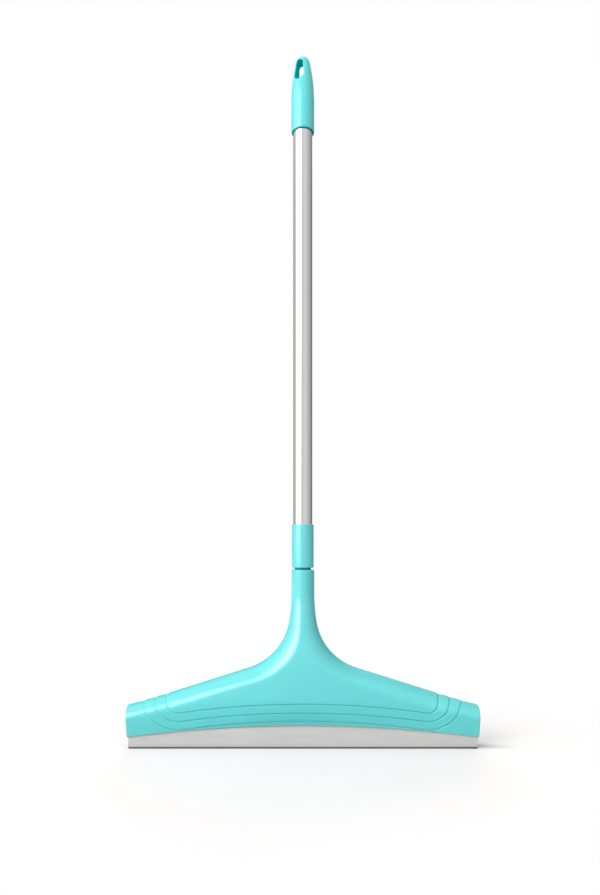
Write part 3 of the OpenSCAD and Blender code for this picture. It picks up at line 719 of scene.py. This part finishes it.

# The hang cap is a turquoise bullet-shaped moulding pressed over the tube's end. A slot with
# rounded lips goes right through its solid nose, turned a little to one side. The slot's walls
# and the underside of the rim are left matt, and their colour is darkened as painted shade.
CAP_RIM, CAP_R, CAP_STRAIGHT, CAP_TAPER, CAP_TAPER_R = 1020.0, 19.1, 51.0, 65.0, 300.0
CAP_GRIP, CAP_LIP_OUT, CAP_LIP_UP = 60.0, 1.2, 2.0
CAP_MOUTH = ((16.4, 0.02), (16.3, 0.3), (16.2, 1.2), (16.1, 3.0), (16.1, CAP_GRIP))
SLOT_LOW_R, SLOT_HIGH_R, SLOT_HEIGHT, SLOT_ROOF, SLOT_LIP = 8.0, 6.0, 35.5, 7.6, 2.4
SLOT_SHIFT, SLOT_TURN, SLOT_BAND, WALL_BANDS = -2.3, math.radians(19), 3.0, 8
BAND_ROOM, BAND_SLACK, BAND_STEP = 0.5, 0.03, 0.3
NOSE_FROM, NOSE_ROW, NOSE_COLUMNS, UNROLL_R, BODY_ROW = 22.0, 1.15, 48, 15.0, 3.0
DOME_ROWS, DOME_STOP = 10, math.radians(87)
CAP_SHOULDER = CAP_RIM + CAP_STRAIGHT
CAP_DROP = CAP_TAPER_R - math.sqrt(CAP_TAPER_R ** 2 - CAP_TAPER ** 2)
CAP_NECK_R = CAP_R - CAP_DROP
CAP_LEAN = CAP_TAPER / (CAP_TAPER_R - CAP_DROP)
DOME_Z = CAP_SHOULDER + CAP_TAPER - CAP_NECK_R * CAP_LEAN
DOME_R = CAP_NECK_R * math.sqrt(1 + CAP_LEAN ** 2)
CAP_TOP = DOME_Z + DOME_R
SLOT_HIGH = CAP_TOP - SLOT_ROOF - SLOT_HIGH_R
SLOT_LOW = CAP_TOP - SLOT_ROOF - SLOT_HEIGHT + SLOT_LOW_R
SLOT_RUN = SLOT_HIGH - SLOT_LOW
SLOT_LEAN = math.asin((SLOT_LOW_R - SLOT_HIGH_R) / SLOT_RUN)


def cap_radius(z):
    if z <= CAP_SHOULDER:
        return CAP_R
    if z <= CAP_SHOULDER + CAP_TAPER:
        return CAP_R - CAP_TAPER_R + math.sqrt(CAP_TAPER_R ** 2 - (z - CAP_SHOULDER) ** 2)
    return math.sqrt(max(0.0, DOME_R ** 2 - (z - DOME_Z) ** 2))


def slot_gap(across, z):
    x, y = abs(across - SLOT_SHIFT), z - SLOT_LOW
    along = y * math.cos(SLOT_LEAN) - x * math.sin(SLOT_LEAN)
    if along < 0:
        return math.hypot(x, y) - SLOT_LOW_R
    if along > SLOT_RUN * math.cos(SLOT_LEAN):
        return math.hypot(x, y - SLOT_RUN) - SLOT_HIGH_R
    return x * math.cos(SLOT_LEAN) + y * math.sin(SLOT_LEAN) - SLOT_LOW_R


def slot_loop(out, arc=44, side=16):
    loop = []
    for z, r, start, end in (
        (SLOT_HIGH, SLOT_HIGH_R + out, SLOT_LEAN, math.pi - SLOT_LEAN),
        (SLOT_LOW, SLOT_LOW_R + out, math.pi - SLOT_LEAN, 2 * math.pi + SLOT_LEAN),
    ):
        loop += [(SLOT_SHIFT + r * math.cos(a), z + r * math.sin(a))
                 for a in (mix(start, end, i / arc) for i in range(arc + 1))]
    turn = len(loop) // 2
    down = [tuple(mix(p, q, i / side) for p, q in zip(loop[turn - 1], loop[turn])) for i in range(1, side)]
    up = [tuple(mix(p, q, i / side) for p, q in zip(loop[-1], loop[0])) for i in range(1, side)]
    return loop[:turn] + down + loop[turn:] + up


def nose_rows():
    rows = [CAP_SHOULDER + NOSE_FROM]
    while rows[-1] < CAP_SHOULDER + CAP_TAPER - 0.6:
        rows.append(rows[-1] + NOSE_ROW)
    low = math.asin((rows[-1] - DOME_Z) / DOME_R)
    lifts = [mix(low, DOME_STOP, i / DOME_ROWS) for i in range(1, DOME_ROWS + 1)]
    return rows + [DOME_Z + DOME_R * math.sin(lift) for lift in lifts]


def nose_plan(rows):
    flat = [(math.asin(across / cap_radius(z)) * UNROLL_R, z) for across, z in slot_loop(SLOT_BAND)]
    n, last = len(flat), len(rows) - 1
    edges = [(i, (i + 1) % n) for i in range(n)]
    border = {}
    for j, z in enumerate(rows):
        for i in range(NOSE_COLUMNS + 1):
            turn = mix(-math.pi / 2, math.pi / 2, i / NOSE_COLUMNS)
            rim = j in (0, last) or i in (0, NOSE_COLUMNS)
            if rim:
                border[(i, j)] = len(flat)
            if rim or slot_gap(cap_radius(z) * math.sin(turn), z) > SLOT_BAND + BAND_ROOM:
                flat.append((turn * UNROLL_R, z))
    edges += [(border[(i, j)], border[(i + 1, j)]) for j in (0, last) for i in range(NOSE_COLUMNS)]
    edges += [(border[(i, j)], border[(i, j + 1)]) for i in (0, NOSE_COLUMNS) for j in range(last)]
    points, _, triangles, _, _, _ = delaunay_2d_cdt([Vector(p) for p in flat], edges, [], 0, 1e-7)
    spots = [(cap_radius(p.y) * math.sin(p.x / UNROLL_R), p.y) for p in points]
    kept = []
    for t in triangles:
        cx, cz = sum(points[i].x for i in t) / 3, sum(points[i].y for i in t) / 3
        if slot_gap(cap_radius(cz) * math.sin(cx / UNROLL_R), cz) > SLOT_BAND - BAND_SLACK:
            kept.append(t)
    return spots, kept


def cap_mesh():
    verts, faces = [], []
    axis = (math.sin(SLOT_TURN), math.cos(SLOT_TURN))
    side = (math.cos(SLOT_TURN), -math.sin(SLOT_TURN))
    rows = nose_rows()
    spots, triangles = nose_plan(rows)
    n = len(slot_loop(0))

    def spot(across, z, way, sunk=0.0):
        deep = math.sqrt(max(0.0, cap_radius(z) ** 2 - across ** 2)) - sunk
        return (across * side[0] + way * deep * axis[0], across * side[1] + way * deep * axis[1], z)

    lips = {}
    for way in (-1, 1):
        base = len(verts)
        verts += [spot(across, z, way) for across, z in spots]
        faces += [tuple(base + i for i in t) for t in triangles]
        rings = [[spot(a, z, way) for a, z in slot_loop(out)] for out in (SLOT_BAND, SLOT_BAND - BAND_STEP)]
        for step in range(9):
            t = math.radians(90 - 11.25 * step)
            out, sunk = SLOT_LIP * (1 - math.cos(t)), SLOT_LIP * (1 - math.sin(t))
            rings.append([spot(a, z, way, sunk) for a, z in slot_loop(out)])
        base = len(verts)
        verts += [p for ring in rings for p in ring]
        faces += quads(base, n, len(rings) - 1)
        lips[way] = [base + (len(rings) - 1) * n + i for i in range(n)]

    wall_start, previous = len(faces), lips[-1]
    for k in range(1, WALL_BANDS + 1):
        current = lips[1]
        if k < WALL_BANDS:
            current = [len(verts) + i for i in range(n)]
            ends = [(verts[a], verts[b]) for a, b in zip(lips[-1], lips[1])]
            verts += [tuple(mix(p, q, k / WALL_BANDS) for p, q in zip(a, b)) for a, b in ends]
        faces += [(previous[i], previous[(i + 1) % n], current[(i + 1) % n], current[i]) for i in range(n)]
        previous = current
    # The slot walls take the matt material, whose darker colour is painted shade.
    matt = list(range(wall_start, len(faces)))

    z = rows[0]
    profile = [(cap_radius(z), z)]
    while z > CAP_RIM + CAP_LIP_UP * 2:
        z -= BODY_ROW
        profile.append((cap_radius(z), z))
    for angle in range(0, 91, 15):
        t = math.radians(angle)
        profile.append((CAP_R - CAP_LIP_OUT * (1 - math.cos(t)), CAP_RIM + CAP_LIP_UP * (1 - math.sin(t))))
    under = len(profile) - 1
    profile += [(r, CAP_RIM + up) for r, up in CAP_MOUTH]
    turn, around, base = math.atan2(side[1], side[0]), 2 * NOSE_COLUMNS, len(verts)
    verts += [p for r, z in profile for p in circle(r, z, around, turn=turn)]
    # So does the rim's underside ring, darker as painted shade.
    matt += range(len(faces) + under * around, len(faces) + (under + 1) * around)
    faces += quads(base, around, len(profile) - 1)
    inner, hub = base + (len(profile) - 1) * around, len(verts)
    verts.append((0, 0, CAP_RIM + CAP_GRIP))
    faces += [(inner + i, inner + (i + 1) % around, hub) for i in range(around)]
    crown, tip = len(verts), len(verts) + around
    verts += circle(cap_radius(rows[-1]), rows[-1], around, turn=turn) + [(0, 0, CAP_TOP)]
    faces += [(crown + i, crown + (i + 1) % around, tip) for i in range(around)]
    return verts, faces, matt


cap_verts, cap_faces, shaded_matt_faces = cap_mesh()
cap = shape("hang_cap", cap_verts, cap_faces)
dress(cap, moulded_plastic("turquoise cap plastic", (0.114, 0.680, 0.688), 900, 0.14, 0.8))
# The matt copy is darker than the cap plastic: painted shade for the slot walls and the rim's underside.
cap.data.materials.append(moulded_plastic("matt turquoise with painted shade", (0.014, 0.55, 0.55), 600, 0.8, 0.0))
for i in shaded_matt_faces:
    cap.data.polygons[i].material_index = 1
smooth(cap, 5e-6)
cap.modifiers.new("even shading", "WEIGHTED_NORMAL")
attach(cap, "pole")
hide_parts("hang_cap")

# The floor is a plain white sheet that fades into the white background. It keeps the soft shadow
# and a faint mirror image of the strips, and a painted shadow beside the right end deepens the shade
# there. Seen in reflections, its far part glows as painted light, brighter on the left.
# Painted shadow: a soft dark oval on the floor beside the right end of the strips.
PAINTED_SHADOW_AT, PAINTED_SHADOW_REACH = (0.28, -0.004), (0.095, 0.021)
FLOOR_CORNERS = [(-6000, -4000, 0), (6000, -4000, 0), (6000, 9000, 0), (-6000, 9000, 0)]
floor = shape("floor_sheet", FLOOR_CORNERS, [(0, 1, 2, 3)])
floor.location.z = -0.0002
sheet, st, plain = blank_material("white sheet")
st.nodes.remove(plain)
matt = add(st, "ShaderNodeBsdfDiffuse")
tone = add(st, "ShaderNodeMix", {6: (0.31, 0.31, 0.31, 1), 7: (0.964, 0.924, 0.919, 1)}, data_type="RGBA")
beside = add(st, "ShaderNodeMapping", {
    "Location": [-a / r for a, r in zip(PAINTED_SHADOW_AT, PAINTED_SHADOW_REACH)] + [0],
    "Scale": [1 / r for r in PAINTED_SHADOW_REACH] + [1]})
away = add(st, "ShaderNodeVectorMath", operation="LENGTH")
painted_shadow = add(st, "ShaderNodeMapRange", {"To Min": 0.55}, interpolation_type="SMOOTHSTEP")
deepen = add(st, "ShaderNodeMix", {0: 1}, data_type="RGBA", blend_type="MULTIPLY")
mirror = add(st, "ShaderNodeBsdfGlossy", {"Roughness": 0.10, "Color": (1, 1, 1, 1)})
polish = add(st, "ShaderNodeMixShader", {"Fac": 0.05})
glow = add(st, "ShaderNodeEmission")
where = add(st, "ShaderNodeTexCoord")
side = add(st, "ShaderNodeSeparateXYZ")
# Painted light: in reflections the far floor glows, fully on the left and fading to a fifth on the right.
dusk = add(st, "ShaderNodeMapRange", {
    "From Min": -0.9, "From Max": 1.3, "To Min": 1.0, "To Max": 0.2}, interpolation_type="SMOOTHSTEP")
shade = add(st, "ShaderNodeMath", operation="MAXIMUM")
oval = add(st, "ShaderNodeMapping", {"Scale": (1.15, 1.6, 1)})
reach = add(st, "ShaderNodeVectorMath", operation="LENGTH")
fade = add(st, "ShaderNodeMapRange", {
    "From Min": 0.30, "From Max": 0.75, "To Min": 0.06, "To Max": 1.0}, interpolation_type="SMOOTHSTEP")
ray = add(st, "ShaderNodeLightPath")
clear = add(st, "ShaderNodeMath", operation="MAXIMUM")
seen = add(st, "ShaderNodeMath", operation="MULTIPLY")
blend = add(st, "ShaderNodeMixShader")
wire(
    st,
    (ray, "Is Camera Ray", tone, 0),
    (where, "Object", beside, "Vector"),
    (beside, "Vector", away, 0),
    (away, "Value", painted_shadow, "Value"),
    (tone, 2, deepen, 6),
    (painted_shadow, "Result", deepen, 7),
    (deepen, 2, matt, "Color"),
    (matt, "BSDF", polish, 1),
    (mirror, "BSDF", polish, 2),
    (where, "Object", side, "Vector"),
    (side, "X", dusk, "Value"),
    (dusk, "Result", shade, 0),
    (ray, "Is Camera Ray", shade, 1),
    (shade, "Value", glow, "Color"),
    (where, "Object", oval, "Vector"),
    (oval, "Vector", reach, 0),
    (reach, "Value", fade, "Value"),
    (ray, "Is Camera Ray", clear, 0),
    (ray, "Is Glossy Ray", clear, 1),
    (fade, "Result", seen, 0),
    (clear, "Value", seen, 1),
    (seen, "Value", blend, "Fac"),
    (polish, "Shader", blend, 1),
    (glow, "Emission", blend, 2),
    (blend, "Shader", st.nodes["Material Output"], "Surface"),
)
dress(floor, sheet)

# The room: white behind the object, a far wide soft box at the left front, a pale wall and a fill at
# the right front, a dim far right, a low fill behind, and a ceiling that is brighter on the left.
WALL_TONES = (
    (-180, 0.24), (-130, 0.41), (-107, 0.68), (0, 0.67), (14, 0.75),
    (38, 0.74), (65, 0.55), (96, 0.43), (137, 0.10), (180, 0.24),
)
CEILING_TONES = ((-180, 0.6), (-90, 0.85), (0, 0.9), (60, 0.6), (120, 0.4), (180, 0.5))
world = bpy.data.worlds.new("studio")
bpy.context.scene.world = world
world.use_nodes = True
wt = world.node_tree
room = wt.nodes["Background"]
way = add(wt, "ShaderNodeTexCoord")
swing = add(wt, "ShaderNodeMapping", {"Rotation": (0, 0, math.radians(90))})
around = add(wt, "ShaderNodeTexGradient", gradient_type="RADIAL")
walls, ceiling = add(wt, "ShaderNodeValToRGB"), add(wt, "ShaderNodeValToRGB")
for ring, tones in ((walls, WALL_TONES), (ceiling, CEILING_TONES)):
    ramp_stops(ring, [((turn + 180) / 360, light) for turn, light in tones])
height = add(wt, "ShaderNodeSeparateXYZ")
cove = add(wt, "ShaderNodeMapRange", {"From Min": 0.42, "From Max": 0.75}, interpolation_type="SMOOTHSTEP")
join = add(wt, "ShaderNodeMix", data_type="RGBA")
white = add(wt, "ShaderNodeBackground", {"Color": (1, 1, 1, 1)})
sight = add(wt, "ShaderNodeLightPath")
pick = add(wt, "ShaderNodeMixShader")
wire(
    wt,
    (way, "Generated", swing, "Vector"),
    (swing, "Vector", around, "Vector"),
    (around, "Fac", walls, "Fac"),
    (around, "Fac", ceiling, "Fac"),
    (way, "Generated", height, "Vector"),
    (height, "Z", cove, "Value"),
    (cove, "Result", join, 0),
    (walls, "Color", join, 6),
    (ceiling, "Color", join, 7),
    (join, 2, room, "Color"),
    (sight, "Is Camera Ray", pick, "Fac"),
    (room, "Background", pick, 1),
    (white, "Background", pick, 2),
    (pick, "Shader", wt.nodes["World Output"], "Surface"),
)


def soft_box(name, turn, lift, distance, target_z, width, height, power):
    lamp = bpy.data.lights.new(name, "AREA")
    lamp.shape = "RECTANGLE"
    lamp.size, lamp.size_y, lamp.energy = width, height, power
    obj = bpy.data.objects.new(name, lamp)
    bpy.context.scene.collection.objects.link(obj)
    a = math.radians(turn)
    at = Vector((distance * math.sin(a), -distance * math.cos(a), lift))
    obj.location = at
    obj.rotation_euler = (Vector((0, 0, target_z)) - at).to_track_quat("-Z", "Y").to_euler()
    obj.visible_camera = False
    return obj


soft_box("left soft box", -53, 2.75, 6.0, 0.5, 7.4, 5.6, 218)
soft_box("soft box middle", -41, 2.75, 5.9, 0.5, 4.2, 5.4, 95)
soft_box("soft box heart", -47, 2.1, 5.8, 0.4, 2.4, 3.2, 85)
fill = soft_box("right fill", 58, 3.4, 6.0, 0.4, 5.0, 4.0, 58)
rear = soft_box("rear fill", 178, 1.5, 6.0, 0.5, 5.0, 2.4, 210)
for lamp in (fill, rear):
    lamp.visible_glossy = False

# The camera stands level in front of the head, low and close, as the photograph was taken. Its lens
# and its upward shift are given in pixels of the picture.
PICTURE_H, LENS_PX, SHIFT_PX, SENSOR = 895, 664, 98, 36
view = bpy.data.cameras.new("front camera")
view.sensor_width = SENSOR
view.lens = LENS_PX / PICTURE_H * SENSOR
view.shift_y = SHIFT_PX / PICTURE_H
view.clip_start = 0.01
camera = bpy.data.objects.new("front camera", view)
bpy.context.scene.collection.objects.link(camera)
camera.location = (-0.0047, -1.1067, 0.3333)
camera.rotation_euler = (math.radians(90), 0, 0)
bpy.context.scene.camera = camera
bpy.context.scene.view_settings.view_transform = "Standard"
